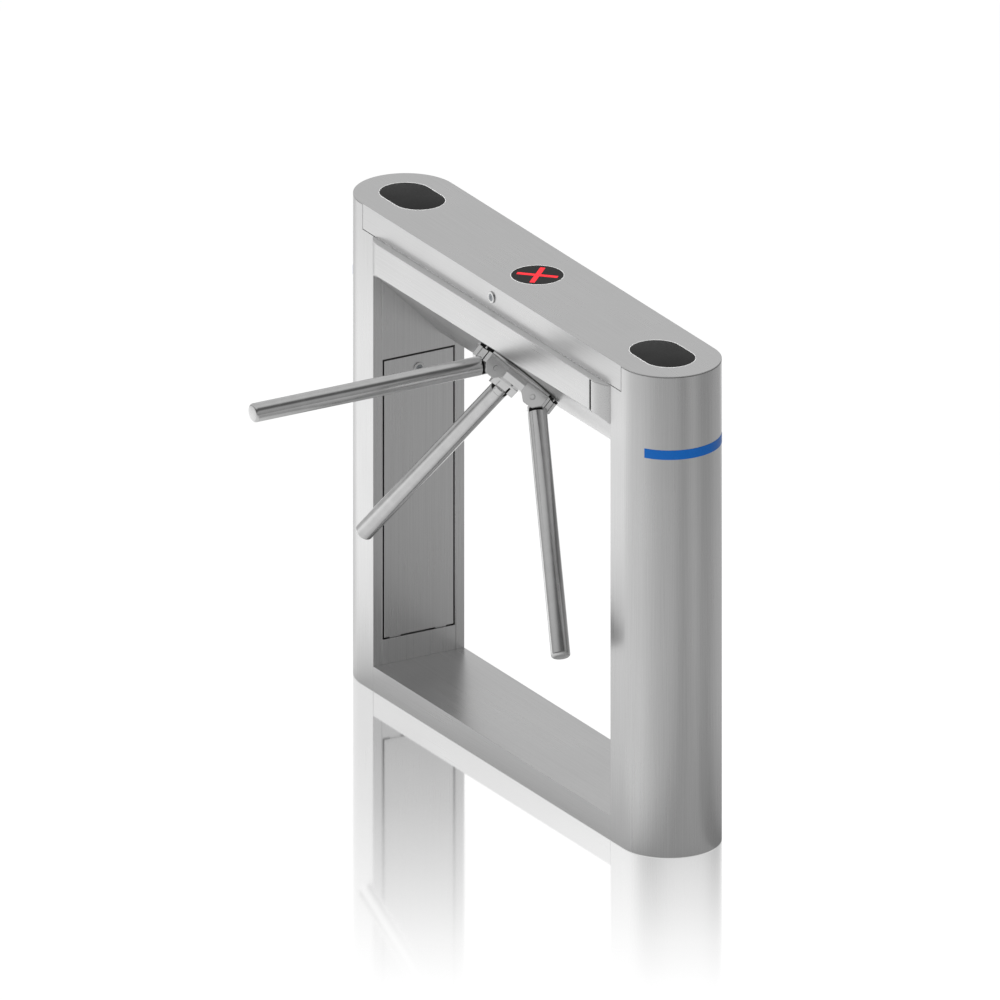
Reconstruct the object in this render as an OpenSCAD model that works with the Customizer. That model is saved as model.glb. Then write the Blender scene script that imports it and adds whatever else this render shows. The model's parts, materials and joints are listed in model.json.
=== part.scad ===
// Tripod turnstile with a bridge cabinet: two half-round posts on a floor beam, a mechanism
// housing between them under a hinged lid, and a three-armed hub on an axis tilted 45 degrees.
// Millimetres. +X runs along the cabinet, -Y is the side the arms stand out on, +Z is up, and
// the origin is the middle of the footprint on the floor.

/* [Cabinet] */
// Overall length over the round ends
cabinet_l = 1200; // [1100:10:1300]
// Overall width, twice the radius of the round ends
cabinet_w = 200; // [200:2:220]
// Height of the lid's top face
cabinet_h = 980; // [975:1:1000]
// Thickness of the stainless sheet
sheet = 2; // [1.5:0.5:2]
// Inner face of each post, from the middle
post_face_x = 450; // [440:5:460]
// Width of the panel between a post's return flanges
panel_w = 162; // [150:2:164]
// Depth of the flanges that turn into the post
flange_d = 20; // [18:1:24]

/* [Access doors] */
// Bottom of the door opening
door_z0 = 100; // [90:5:120]
// Top of the door opening
door_z1 = 670; // [620:5:680]
// Gap round the door
door_gap = 3.5; // [2:0.5:4]
// Height of the door lock above the floor
door_lock_z = 639; // [600:1:645]

/* [Floor beam] */
// Height of the beam between the posts
beam_h = 50; // [40:5:60]
// Thickness of the anchor plates
anchor_t = 6; // [5:1:10]
// Anchor spacing along the cabinet
anchor_dx = 70; // [60:5:80]
// Anchor spacing across the cabinet
anchor_dy = 120; // [100:5:130]
// Diameter of an anchor hole
anchor_d = 14; // [10:1:16]
// Diameter of the cable entry
cable_d = 50; // [30:5:60]

/* [Housing] */
// How far the housing's front stands out from the post fronts
front_stand_out = 16.4; // [12:0.2:18]
// Middle of the rounded corners at the ends of that front
corner_x = 404; // [402:1:406]
// Underside of the housing
slope_z0 = 700; // [695:1:720]
// Top of the front, just under the lid's apron
cover_z1 = 927; // [924:1:927]
// Right-hand end of the front cover
cover_x1 = 398; // [390:1:400]

/* [Lid] */
// Depth of the lid's aprons
apron_h = 52; // [46:1:56]
// Half length of the aprons
apron_x = 490; // [480:2:495]
// Length of a reader window
window_l = 150; // [120:5:160]
// Width of a reader window
window_w = 100; // [80:5:110]
// Middle of a reader window from the middle of the lid
window_x = 475; // [460:5:480]
// Diameter of the indicator
indicator_d = 100; // [80:5:110]
// Width of a bar of the indicator's cross
cross_w = 10; // [6:1:14]
// Length of a bar of the indicator's cross
cross_l = 80; // [50:5:84]

/* [Hub and arms] */
// Outside diameter of an arm tube
arm_d = 37; // [32:1:38]
// Distance from the point where the arms meet to an arm's tip
arm_reach = 613; // [560:1:640]
// Distance from that point to the start of the tube
arm_start = 117.5; // [117:0.5:122]
// Diameter of the hub flange
hub_flange_d = 190; // [188:2:196]
// Width of a clevis over both cheeks
clevis_w = 52; // [50:1:56]
// Width of the slot between the cheeks
clevis_slot = 26; // [24:1:28]
// Height of the point where the arms meet
apex_z = 820; // [816:1:824]

/* [Mechanism] */
// Diameter of the main shaft
shaft_d = 30; // [28:1:32]
// Radius of the index wheel
wheel_r = 56; // [50:1:57]
// Stroke of a locking pawl in degrees
pawl_turn = 8.8; // [8:0.1:9]

/* [Hidden] */
$fn = 96;

steel = "#c9cbcc";
bright = "#dddfe0";
dark_gloss = "#353535";
machined = "#a9adb1";
zinc = "#b9bcb4";

end_r = cabinet_w / 2;
end_x = cabinet_l / 2 - end_r;
lid_z = cabinet_h - sheet;
apron_z = cabinet_h - apron_h;
// Clearance between the lid and the posts under it
lid_gap = 0.5;
post_top = lid_z - lid_gap;

// Door skin, its returns, and the edge it tilts on
door_t = 1.5;
door_depth = 14;
door_w = panel_w - 2 * sheet - 2 * door_gap;
door_bottom = door_z0 + door_gap;
door_top = door_z1 - door_gap;
stop_w = 12;
hook_y = 50;
hook_w = 24;

// Section of the housing, in Y and Z
front_face = -end_r - front_stand_out;
corner_l = post_face_x - corner_x;
corner_r = (pow(corner_l, 2) + pow(front_stand_out, 2)) / (2 * front_stand_out);
cover_depth = 4;
cover_lip = 8;
cover_top_y = -92;
upstand_y = -88;
wall_top = 938;
rear_y = end_r - 2;
shelf_y = end_r - 10;
shelf_z = 913;
rear_top = 950;
slope_sum = 749.5;
cover_sum = 746.5;

// The hub stands in its own frame: origin where the arms meet, +Z outwards along the hub's
// axis, +Y up the slope, X as the cabinet's. The axis and the arms each lean 45 degrees.
apex_y = -12;
hub_lean = 45;
slope_at = (apex_y + apex_z - slope_sum) / sqrt(2);
hub_gap = 2;
flange_z0 = slope_at + hub_gap;
flange_t = 5;
flange_z1 = flange_z0 + flange_t;
hub_r = hub_flange_d / 2;
aperture_r = 32;

// Outline of a clevis cheek: distance out from the hub's axis, height along the axis
cheek_in = 40;
cheek_out = hub_r - 2;
cheek_h = 84.5;
cheek_side = 70;
cheek_cut = cheek_h - cheek_side;
pin_at = 66.5;
pin_d = 10;
boss_x = 40;
boss_side = 58;
boss_top = 70;
arm_turn = [90, 210, 330];

// Mechanism, along the hub's axis into the housing
plate_t = 6;
plate_z0 = slope_at - sheet - plate_t;
bearing_r = 27.5;
bearing_w = 13;
case_r = 36;
case_z0 = -38;
frame_t = 4;
wheel_t = 12;
wheel_z0 = -56;
notch_w = 13;
notch_d = 11;
pawl_x = 82;
pawl_y = -28;
pawl_at = 30;
pawl_t = 10;
pawl_z0 = wheel_z0 + 1;
tip_r = wheel_r + 2;
tip_w = 9;
link_x = 124;
link_pin_r = 3;
plunger_r = 6;
coil_z = -60;
coil_r = 14;
coil_y0 = 5;
coil_y1 = 50;

// Lid hinge axis, behind the rear edge of the housing
hinge_y = end_r - 5;
hinge_z = 920;
hinge_x = 300;
knuckle_r = 3.5;
hinge_pin_r = 1.5;

// Cam locks
lock_face_r = 11.5;
lock_body_r = 9;
plug_r = 7;
cam_l = 34;
lock_deep = 19;
cam_at = 22;

function polar(r, a) = [r * cos(a), r * sin(a)];

// Draws for the right-hand end, and mirrors it to the left for side = -1
module at_end(side) {
    mirror([side < 0 ? 1 : 0, 0, 0]) children();
}

// Puts a section drawn in Y and Z along X from x0 to x1
module along_x(x0, x1) {
    translate([x0, 0, 0]) rotate([90, 0, 90]) linear_extrude(height = x1 - x0) children();
}

module hub_frame() {
    translate([0, apex_y, apex_z]) rotate([90 + hub_lean, 0, 0]) children();
}

// Turns the hub frame so that +X points out under arm i
module under_arm(i) {
    hub_frame() rotate([0, 0, arm_turn[i - 1]]) children();
}

// Puts +Z along arm i, with the origin where the arms meet
module along_arm(i) {
    under_arm(i) rotate([0, hub_lean, 0]) children();
}

module tube(r, bore, z0, z1) {
    difference() {
        translate([0, 0, z0]) cylinder(h = z1 - z0, r = r);
        translate([0, 0, z0 - 1]) cylinder(h = z1 - z0 + 2, r = bore);
    }
}

module stadium(l, w) {
    for (s = [-1, 1]) {
        translate([s * (l - w) / 2, 0]) circle(r = w / 2);
    }
    square([l - w, w], center = true);
}

// Half-round end with two flats, filled, drawn inwards by inset
module post_plan(inset) {
    intersection() {
        translate([end_x, 0]) circle(r = end_r - inset);
        translate([end_x, -end_r]) square([end_r, cabinet_w]);
    }
    translate([post_face_x + inset, -end_r + inset])
        square([end_x - post_face_x - inset, cabinet_w - 2 * inset]);
}

// One folded sheet: round end, flats, return flanges and the flanges that turn inwards
module post_shell(side) {
    notch_y = end_r - sheet - 1;
    color(steel) at_end(side) difference() {
        union() {
            linear_extrude(height = post_top) difference() {
                post_plan(0);
                post_plan(sheet);
                translate([post_face_x - 1, -panel_w / 2]) square([sheet + 2, panel_w]);
            }
            for (s = [-1, 1]) {
                translate([post_face_x, s * (panel_w + sheet) / 2 - sheet / 2, 0])
                    cube([flange_d, sheet, apron_z - 1]);
            }
        }
        for (s = [-1, 1]) {
            translate([post_face_x - 1, s > 0 ? notch_y : -notch_y - 10, apron_z - 1])
                cube([apron_x - post_face_x + 2, 10, apron_h]);
        }
        translate([post_face_x - 1, -end_r - 1, apron_z - 1])
            cube([sheet + 2, cabinet_w + 2, apron_h]);
    }
}

// Pan between the flanges: panel above the door, strip below it, and a rebate the door shuts on
module inner_panel(side) {
    half = panel_w / 2;
    z1 = apron_z - 1;
    color(steel) at_end(side) difference() {
        union() {
            translate([post_face_x, -half, anchor_t]) cube([sheet, panel_w, z1 - anchor_t]);
            for (s = [-1, 1]) {
                translate([post_face_x, s * (half - sheet / 2) - sheet / 2, anchor_t])
                    cube([flange_d, sheet, z1 - anchor_t]);
            }
            translate([post_face_x, -half, door_z0 - sheet])
                cube([flange_d, panel_w, door_z1 - door_z0 + 2 * sheet]);
        }
        translate([post_face_x - 1, -half + sheet, door_z0])
            cube([flange_d + 1 - sheet, panel_w - 2 * sheet, door_z1 - door_z0]);
        translate([post_face_x, -half + stop_w, door_z0 + stop_w])
            cube([flange_d + 1, panel_w - 2 * stop_w, door_z1 - door_z0 - 2 * stop_w]);
        for (s = [-1, 1]) {
            translate([post_face_x + sheet, s * hook_y - hook_w / 2 - 2, door_z0 - sheet - 1])
                cube([12, hook_w + 4, sheet + 2]);
        }
        translate([post_face_x - 1, 10, 790]) cube([sheet + 2, 50, 60]);
    }
}

module anchor_plate(side) {
    hole_x = post_face_x + 65;
    color(zinc) at_end(side) difference() {
        linear_extrude(height = anchor_t) difference() {
            post_plan(sheet);
            translate([post_face_x, -end_r]) square([flange_d + 2, end_r - panel_w / 2 + sheet]);
            translate([post_face_x, panel_w / 2 - sheet]) square([flange_d + 2, end_r]);
        }
        for (sx = [-1, 1], sy = [-1, 1]) {
            translate([hole_x + sx * anchor_dx / 2, sy * anchor_dy / 2, -1])
                cylinder(h = anchor_t + 2, r = anchor_d / 2);
        }
        translate([hole_x, 0, -1]) cylinder(h = anchor_t + 2, r = cable_d / 2);
    }
}

// Blue marker band round the outside of a post
module stripe(side) {
    half_turn = 58;
    color("#1961b5") at_end(side) translate([end_x, 0, 811])
        rotate([0, 0, -half_turn]) rotate_extrude(angle = 2 * half_turn)
            translate([end_r, 0]) square([0.4, 19]);
}

module floor_channel() {
    color(steel) along_x(-post_face_x, post_face_x) difference() {
        translate([-end_r, 0]) square([cabinet_w, beam_h]);
        translate([-end_r + sheet, -1]) square([cabinet_w - 2 * sheet, beam_h - sheet + 1]);
    }
}

module floor_cover() {
    color(zinc) translate([-post_face_x, -end_r + sheet, 0])
        cube([2 * post_face_x, cabinet_w - 2 * sheet, sheet]);
}

// Plan of the front, which stands out from the posts between two rounded corners, drawn
// inwards by depth
module front_plan(depth) {
    intersection() {
        union() {
            for (s = [-1, 1]) {
                translate([s * corner_x, front_face + corner_r]) circle(r = corner_r - depth);
            }
            translate([-corner_x, front_face + depth]) square([2 * corner_x, end_r]);
        }
        translate([-post_face_x, front_face]) square([2 * post_face_x, end_r]);
    }
}

// Everything above the 45 degree plane on which Y and Z add up to total, in front of y1
module above_slope(total, y1, z1) {
    along_x(-cabinet_l, cabinet_l) polygon([
        [total - z1, z1], [y1, z1], [y1, total - y1]
    ]);
}

// Front wall with its ledge, drawn inwards by depth, up to z1
module front_block(depth, total, y1, z1) {
    intersection() {
        linear_extrude(height = z1) front_plan(depth);
        above_slope(total, y1, z1);
    }
}

// Front wall up to a ledge and an upstand behind it, 45 degree slope with the hub's aperture,
// floor and rear wall, all of one folded sheet
module housing() {
    t = sheet;
    slope_in = slope_sum + t * sqrt(2);
    fold_y = upstand_y - 4;
    ledge_z = cover_z1 - t;
    color(steel) difference() {
        union() {
            difference() {
                front_block(cover_depth, slope_sum, upstand_y + t, ledge_z);
                front_block(cover_depth + t, slope_in, upstand_y + t + 1, ledge_z - t);
            }
            along_x(-post_face_x, post_face_x) polygon([
                [fold_y, slope_sum - fold_y], [slope_sum - slope_z0, slope_z0],
                [rear_y, slope_z0], [rear_y, shelf_z], [shelf_y, shelf_z], [shelf_y, rear_top],
                [shelf_y - t, rear_top], [shelf_y - t, shelf_z - t], [rear_y - t, shelf_z - t],
                [rear_y - t, slope_z0 + t], [slope_in - slope_z0 - t, slope_z0 + t],
                [fold_y, slope_in - fold_y]
            ]);
            translate([-post_face_x, upstand_y, ledge_z - t])
                cube([2 * post_face_x, t, wall_top - ledge_z + t]);
        }
        hub_frame() translate([0, 0, slope_at - 10]) cylinder(h = 20, r = aperture_r);
    }
}

// Cover sheet over the front, with a lip along the slope that clears the hub's flange
module cover_sheet() {
    difference() {
        front_block(0, cover_sum, cover_top_y, cover_z1 - sheet);
        front_block(sheet, slope_sum, cover_top_y + 1, cover_z1);
        linear_extrude(height = cabinet_h) front_plan(cover_lip);
        hub_frame() translate([0, 0, slope_at - 2]) cylinder(h = 20, r = hub_r + 3);
    }
}

// Front cover: its face runs round the left-hand corner, and its top covers the whole ledge
module front_cover() {
    color(steel) {
        intersection() {
            cover_sheet();
            translate([-post_face_x, -cabinet_w, 0]) cube([post_face_x + cover_x1, cabinet_w, cabinet_h]);
        }
        difference() {
            front_block(0, cover_sum, cover_top_y, cover_z1);
            translate([-cabinet_l, -cabinet_w, 0]) cube([2 * cabinet_l, cabinet_w, cover_z1 - sheet]);
        }
    }
}

// Rounded right-hand corner of the front
module end_cover() {
    color(steel) intersection() {
        cover_sheet();
        translate([corner_x, -cabinet_w, 0]) cube([corner_l, cabinet_w, cabinet_h]);
    }
}

// Angle that the lid's cam turns under
module lid_keeper() {
    lip_z = 961;
    color(zinc) {
        translate([36, upstand_y + sheet, 915]) cube([sheet, 14, lip_z - 915 + sheet]);
        translate([14, -84, lip_z]) cube([24, 26, sheet]);
        translate([18, upstand_y + sheet, 915]) cube([20, sheet, 20]);
    }
}

// Mechanism plate on the inside of the slope
module mechanism_plate() {
    color(zinc) hub_frame() difference() {
        translate([-115, -95, plate_z0]) cube([230, 165, plate_t]);
        translate([0, 0, plate_z0 - 1]) cylinder(h = plate_t + 2, r = aperture_r);
    }
}

module bearing_housing() {
    color(machined) hub_frame() difference() {
        union() {
            translate([0, 0, case_z0]) cylinder(h = plate_z0 - case_z0, r = case_r);
            translate([0, 0, plate_z0 - 10]) cylinder(h = 10, r = 58);
            for (a = [45 : 90 : 315]) {
                rotate([0, 0, a]) translate([case_r - 4, -3, case_z0 + 12])
                    cube([20, 6, plate_z0 - case_z0 - 14]);
            }
        }
        translate([0, 0, case_z0 - 1]) cylinder(h = plate_z0 - case_z0 + 2, r = bearing_r - 5);
        translate([0, 0, case_z0 - 1]) cylinder(h = bearing_w + 1, r = bearing_r);
        translate([0, 0, plate_z0 - bearing_w]) cylinder(h = bearing_w + 1, r = bearing_r);
        for (a = [0 : 60 : 300]) {
            rotate([0, 0, a]) translate([48, 0, plate_z0 - 11]) cylinder(h = 12, r = 4.5);
        }
    }
}

// Ball bearing with its shields, from z0 to z0 + bearing_w
module bearing(z0) {
    bore = shaft_d / 2 + 0.05;
    race = 4;
    color(bright) hub_frame() translate([0, 0, z0]) difference() {
        tube(bearing_r, bore, 0, bearing_w);
        tube(bearing_r - race, bore + race, -1, 1);
        tube(bearing_r - race, bore + race, bearing_w - 1, bearing_w + 1);
    }
}

// Plate on the back of the bearing housing with its four spacers and the pawls' pivots
module mechanism_frame() {
    color(zinc) hub_frame() {
        difference() {
            translate([-150, -62, case_z0 - frame_t]) cube([300, 140, frame_t]);
            translate([0, 0, case_z0 - frame_t - 1]) cylinder(h = frame_t + 2, r = 22);
        }
        for (sx = [-1, 1], y = [-48, 60]) {
            translate([sx * 100, y, case_z0 - 1]) cylinder(h = plate_z0 - case_z0 + 1, r = 7);
        }
        for (sx = [-1, 1]) {
            translate([sx * pawl_x, pawl_y, pawl_z0 - 5])
                cylinder(h = case_z0 - pawl_z0 + 4, r = 6);
        }
    }
}

// Coil in its open frame, screwed to the mechanism frame
module solenoid(side) {
    frame_z = case_z0 - frame_t;
    half = 17;
    color(zinc) hub_frame() at_end(side) difference() {
        union() {
            for (y = [coil_y0, coil_y1 - 3]) {
                translate([link_x - half, y, coil_z - half]) cube([2 * half, 3, frame_z - coil_z + half]);
            }
            translate([link_x - half, coil_y0, frame_z - 3]) cube([2 * half, coil_y1 - coil_y0, 3]);
            translate([link_x, coil_y0, coil_z]) rotate([-90, 0, 0])
                cylinder(h = coil_y1 - coil_y0, r = coil_r);
        }
        translate([link_x, coil_y0 - 1, coil_z]) rotate([-90, 0, 0])
            cylinder(h = coil_y1 - coil_y0 + 2, r = plunger_r + 0.1);
    }
}

// Plunger with the flat tongue that takes the pawl's link pin
module plunger(side) {
    color(bright) hub_frame() at_end(side) difference() {
        union() {
            translate([link_x, -8, coil_z]) rotate([-90, 0, 0]) cylinder(h = 40, r = plunger_r);
            translate([link_x - 6, pawl_y - 9, coil_z - 3]) cube([12, 32, 6]);
        }
        translate([link_x - 4.2, pawl_y - link_pin_r - 0.3, coil_z - 4])
            cube([8.4, 2 * link_pin_r + 0.6, 8]);
    }
}

// Pawl: its tip swings into a notch of the index wheel when the plunger is drawn in
module pawl(side) {
    tip = polar(tip_r, pawl_at);
    root = polar(tip_r + 18, pawl_at);
    side_v = polar(tip_w / 2, pawl_at + 90);
    color(machined) hub_frame() at_end(side) {
        difference() {
            union() {
                translate([0, 0, pawl_z0]) linear_extrude(height = pawl_t) {
                    polygon([
                        tip + side_v, tip - side_v, root - side_v - [6, 3],
                        [pawl_x - 12, pawl_y + 5], [pawl_x + 12, pawl_y + 5],
                        root + [8, -6], root + side_v
                    ]);
                    translate([pawl_x, pawl_y - 6]) square([link_x - pawl_x + 7, 12]);
                }
                translate([pawl_x, pawl_y, pawl_z0]) cylinder(h = pawl_t, r = 13);
            }
            translate([pawl_x, pawl_y, pawl_z0 - 1]) cylinder(h = pawl_t + 2, r = 6.05);
        }
        translate([link_x, pawl_y, coil_z - 4]) cylinder(h = pawl_z0 - coil_z + 6, r = link_pin_r);
    }
}

module main_shaft() {
    r = shaft_d / 2;
    color(bright) hub_frame() {
        translate([0, 0, wheel_z0 - 14]) cylinder(h = flange_z1 - wheel_z0 + 14, r = r);
        translate([0, 0, plate_z0 + 2]) cylinder(h = flange_z0 - plate_z0 - 2, r = aperture_r - 4);
        translate([0, 0, wheel_z0 - 10]) cylinder(h = 10, r = 24, $fn = 6);
    }
}

// Six notches, one for each 60 degrees of the hub
module index_wheel() {
    color(machined) hub_frame() difference() {
        translate([0, 0, wheel_z0]) cylinder(h = wheel_t, r = wheel_r);
        translate([0, 0, wheel_z0 - 1]) cylinder(h = wheel_t + 2, r = shaft_d / 2);
        for (a = [pawl_at : 60 : pawl_at + 300]) {
            rotate([0, 0, a]) translate([wheel_r - notch_d, -notch_w / 2, wheel_z0 - 1])
                cube([notch_d + 5, notch_w, wheel_t + 2]);
            rotate([0, 0, a + 30]) translate([34, 0, wheel_z0 - 1]) cylinder(h = wheel_t + 2, r = 9);
        }
    }
}

// Disc behind the arms, with two slots in its rim under each clevis
module hub_flange() {
    color(bright) hub_frame() difference() {
        translate([0, 0, flange_z0]) cylinder(h = flange_t, r = hub_r);
        translate([0, 0, flange_z0 - 1]) cylinder(h = flange_t + 2, r = shaft_d / 2);
        for (turn = arm_turn, s = [-1, 1]) {
            rotate([0, 0, turn]) translate([hub_r - 7, s * 13 - 10, flange_z0 - 1])
                cube([10, 20, flange_t + 2]);
        }
    }
}

// Cheek outline between the hub flange and height top
module cheek_outline(x0, x1, side_h, top) {
    cut = top - side_h;
    polygon([
        [x0, flange_z1], [x1, flange_z1], [x1, side_h], [x1 - cut, top],
        [x0 + cut + 2, top], [x0, side_h]
    ]);
}

// Faceted boss with three open clevises
module hub_casting() {
    color(bright) hub_frame() difference() {
        union() {
            difference() {
                translate([0, 0, flange_z1]) cylinder(h = boss_top - flange_z1, r = cheek_in + 12);
                for (turn = arm_turn) {
                    rotate([0, 0, turn + 60]) {
                        translate([boss_x, -100, 0]) cube([100, 200, 200]);
                        translate([boss_x, -100, boss_side]) rotate([0, -45, 0])
                            cube([100, 200, 100]);
                    }
                    rotate([0, 0, turn]) translate([cheek_in + 4, -100, 0]) cube([100, 200, 200]);
                }
            }
            for (turn = arm_turn) {
                rotate([0, 0, turn]) rotate([90, 0, 0]) translate([0, 0, -clevis_w / 2])
                    linear_extrude(height = clevis_w)
                        cheek_outline(cheek_in, cheek_out, cheek_side, cheek_h);
            }
        }
        for (turn = arm_turn) {
            rotate([0, 0, turn]) {
                translate([cheek_in + 4, -clevis_slot / 2, flange_z1]) cube([80, clevis_slot, 80]);
                translate([pin_at, 60, pin_at]) rotate([90, 0, 0]) cylinder(h = 120, r = pin_d / 2);
            }
        }
    }
}

// Root block of an arm: a tongue in the clevis, a neck, and the spigot inside the tube
module arm_knuckle(i) {
    half = clevis_slot / 2 - 1;
    color(bright) {
        difference() {
            union() {
                under_arm(i) rotate([90, 0, 0]) translate([0, 0, -half])
                    linear_extrude(height = 2 * half) difference() {
                        cheek_outline(cheek_in + 6, cheek_out - 1, cheek_side - 1, cheek_h - 2);
                        translate([0, flange_z1 - 1]) square([hub_r, 2]);
                    }
                along_arm(i) translate([0, 0, 100]) cylinder(h = arm_start - 100, r = 12);
                along_arm(i) translate([0, 0, arm_start]) cylinder(h = 50, r = arm_d / 2 - sheet);
            }
            under_arm(i) translate([pin_at, 60, pin_at]) rotate([90, 0, 0])
                cylinder(h = 120, r = pin_d / 2);
        }
    }
}

module arm_pin(i) {
    color(bright) under_arm(i) translate([pin_at, clevis_w / 2 + 1, pin_at]) rotate([90, 0, 0])
        cylinder(h = clevis_w + 2, r = pin_d / 2);
}

// Arm tube, closed at the tip by a shallow dome
module arm_tube(i) {
    r = arm_d / 2;
    crown = 5;
    color(bright) along_arm(i) rotate_extrude() difference() {
        union() {
            translate([0, arm_start]) square([r, arm_reach - crown - arm_start]);
            translate([0, arm_reach - crown]) square([r - crown, crown]);
            intersection() {
                translate([r - crown, arm_reach - crown]) circle(r = crown);
                translate([r - crown, arm_reach - crown]) square([crown, crown]);
            }
        }
        translate([0, arm_start - 1]) square([r - sheet, arm_reach - crown - sheet - arm_start]);
    }
}

// Door pan with hooks that go down behind the strip below it
module door(side) {
    half = door_w / 2;
    color(steel) at_end(side) difference() {
        union() {
            translate([post_face_x, -half, door_bottom]) cube([door_depth, door_w, door_top - door_bottom]);
            for (s = [-1, 1]) {
                translate([post_face_x + sheet + 0.8, s * hook_y - hook_w / 2, door_z0 - 12])
                    cube([door_t, hook_w, 17]);
            }
        }
        translate([post_face_x + door_t, -half + door_t, door_bottom + door_t])
            cube([door_depth, door_w - 2 * door_t, door_top - door_bottom - 2 * door_t]);
        translate([post_face_x - 1, 0, door_lock_z]) rotate([0, 90, 0])
            cylinder(h = door_t + 2, r = lock_body_r);
    }
    color(steel) at_end(side) difference() {
        translate([post_face_x + door_t, -30, 200]) cube([door_depth - 1, 60, 340]);
        translate([post_face_x + door_t - 1, -30 + door_t, 199]) cube([door_depth - 1, 60 - 2 * door_t, 342]);
    }
}

// Fixed part of a cam lock, face outwards along +Z, mounted through a skin of thickness t
module lock_barrel(t) {
    color(bright) difference() {
        union() {
            cylinder(h = 2.5, r = lock_face_r);
            translate([0, 0, -lock_deep]) cylinder(h = lock_deep, r = lock_body_r);
            translate([0, 0, -t - 3]) cylinder(h = 3, r = 12, $fn = 6);
        }
        translate([0, 0, -lock_deep - 1]) cylinder(h = lock_deep + 5, r = plug_r + 0.05);
    }
}

// Turning part: plug with its key slot, and the cam pointing along +Y
module lock_plug() {
    color(machined) difference() {
        union() {
            translate([0, 0, -cam_at]) cylinder(h = cam_at + 2.2, r = plug_r);
            translate([-5, -7, -cam_at - sheet]) cube([10, cam_l + 7, sheet]);
        }
        translate([-0.8, -4, -4]) cube([1.6, 8, 8]);
    }
}

module on_door(side) {
    at_end(side) translate([post_face_x, 0, door_lock_z]) rotate([0, -90, 0]) children();
}

module on_apron() {
    translate([0, -end_r, apron_z + apron_h / 2]) rotate([90, 0, 0]) children();
}

module lid() {
    color(steel) difference() {
        union() {
            translate([0, 0, lid_z]) linear_extrude(height = sheet) difference() {
                stadium(cabinet_l, cabinet_w);
                for (s = [-1, 1]) {
                    translate([s * window_x, 0]) stadium(window_l + 3, window_w + 3);
                }
                circle(r = indicator_d / 2 + 1.5);
            }
            for (y = [-end_r, end_r - sheet]) {
                translate([-apron_x, y, apron_z]) cube([2 * apron_x, sheet, apron_h - sheet]);
            }
            translate([-post_face_x + 4, -end_r, apron_z]) cube([2 * post_face_x - 8, 4.5, sheet]);
        }
        on_apron() translate([0, 0, -sheet - 1]) cylinder(h = sheet + 2, r = lock_body_r);
    }
}

module window(side) {
    color(dark_gloss) at_end(side) translate([window_x, 0, lid_z - 4]) linear_extrude(height = 6)
        stadium(window_l, window_w);
}

module bezel(side) {
    color(bright) at_end(side) translate([window_x, 0, lid_z]) linear_extrude(height = sheet + 0.4)
        difference() {
            stadium(window_l + 3, window_w + 3);
            stadium(window_l, window_w);
        }
}

module cross_plan() {
    for (a = [-45, 45]) {
        rotate(a) square([cross_l, cross_w], center = true);
    }
}

module indicator_lens() {
    color(dark_gloss) translate([0, 0, lid_z - 4]) difference() {
        cylinder(h = 6, r = indicator_d / 2);
        translate([0, 0, 5]) linear_extrude(height = 2) cross_plan();
    }
}

module indicator_cross() {
    color("#ff4048") translate([0, 0, lid_z + 1]) linear_extrude(height = 1) cross_plan();
}

module indicator_bezel() {
    color(bright) tube(indicator_d / 2 + 1.5, indicator_d / 2, lid_z, lid_z + sheet + 0.4);
}

// Hinge halves: the fixed one has the middle knuckle and the pin, the leaf the two outer ones
module lid_hinge_fixed() {
    color(zinc) for (s = [-1, 1]) {
        translate([s * hinge_x, 0, 0]) {
            translate([-40, shelf_y, hinge_z + 4]) cube([80, sheet, 20]);
            translate([-14, shelf_y, hinge_z + 1]) cube([28, sheet, 5]);
            translate([-14, shelf_y, hinge_z + 1]) cube([28, 5, 2.5]);
            translate([-14, hinge_y, hinge_z]) rotate([0, 90, 0]) cylinder(h = 28, r = knuckle_r);
            translate([-40, hinge_y, hinge_z]) rotate([0, 90, 0]) cylinder(h = 80, r = hinge_pin_r);
        }
    }
}

module lid_hinge_leaf() {
    color(zinc) for (s = [-1, 1], e = [-1, 1]) {
        translate([s * hinge_x + e * 27, 0, 0]) difference() {
            union() {
                translate([-12, hinge_y, hinge_z]) rotate([0, 90, 0]) cylinder(h = 24, r = knuckle_r);
                translate([-12, hinge_y + 1.5, hinge_z]) cube([24, end_r - sheet - hinge_y - 1.5, 30]);
            }
            translate([-13, hinge_y, hinge_z]) rotate([0, 90, 0])
                cylinder(h = 26, r = hinge_pin_r + 0.05);
        }
    }
}

// Vented supply box on the rear wall
module power_supply() {
    color(zinc) difference() {
        translate([-390, rear_y - sheet - 38, 740]) cube([160, 38, 98]);
        for (i = [0 : 9]) {
            translate([-376 + i * 12, rear_y - sheet - 39, 760]) cube([5, 6, 60]);
        }
        translate([-250, rear_y - sheet - 39, 739]) cube([21, 20, 100]);
    }
}

// Circuit board on four spacers, with its terminal strips and relays
module controller() {
    back = rear_y - sheet;
    color("#2f6b45") {
        translate([220, back - 12, 740]) cube([160, 2, 100]);
        for (x = [228, 372], z = [748, 832]) {
            translate([x, back - 10, z]) rotate([-90, 0, 0]) cylinder(h = 10, r = 3);
        }
        translate([226, back - 22, 744]) cube([148, 10, 9]);
        translate([226, back - 22, 827]) cube([148, 10, 9]);
        for (i = [0 : 3]) {
            translate([236 + i * 34, back - 27, 785]) cube([20, 15, 26]);
        }
    }
}

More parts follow.
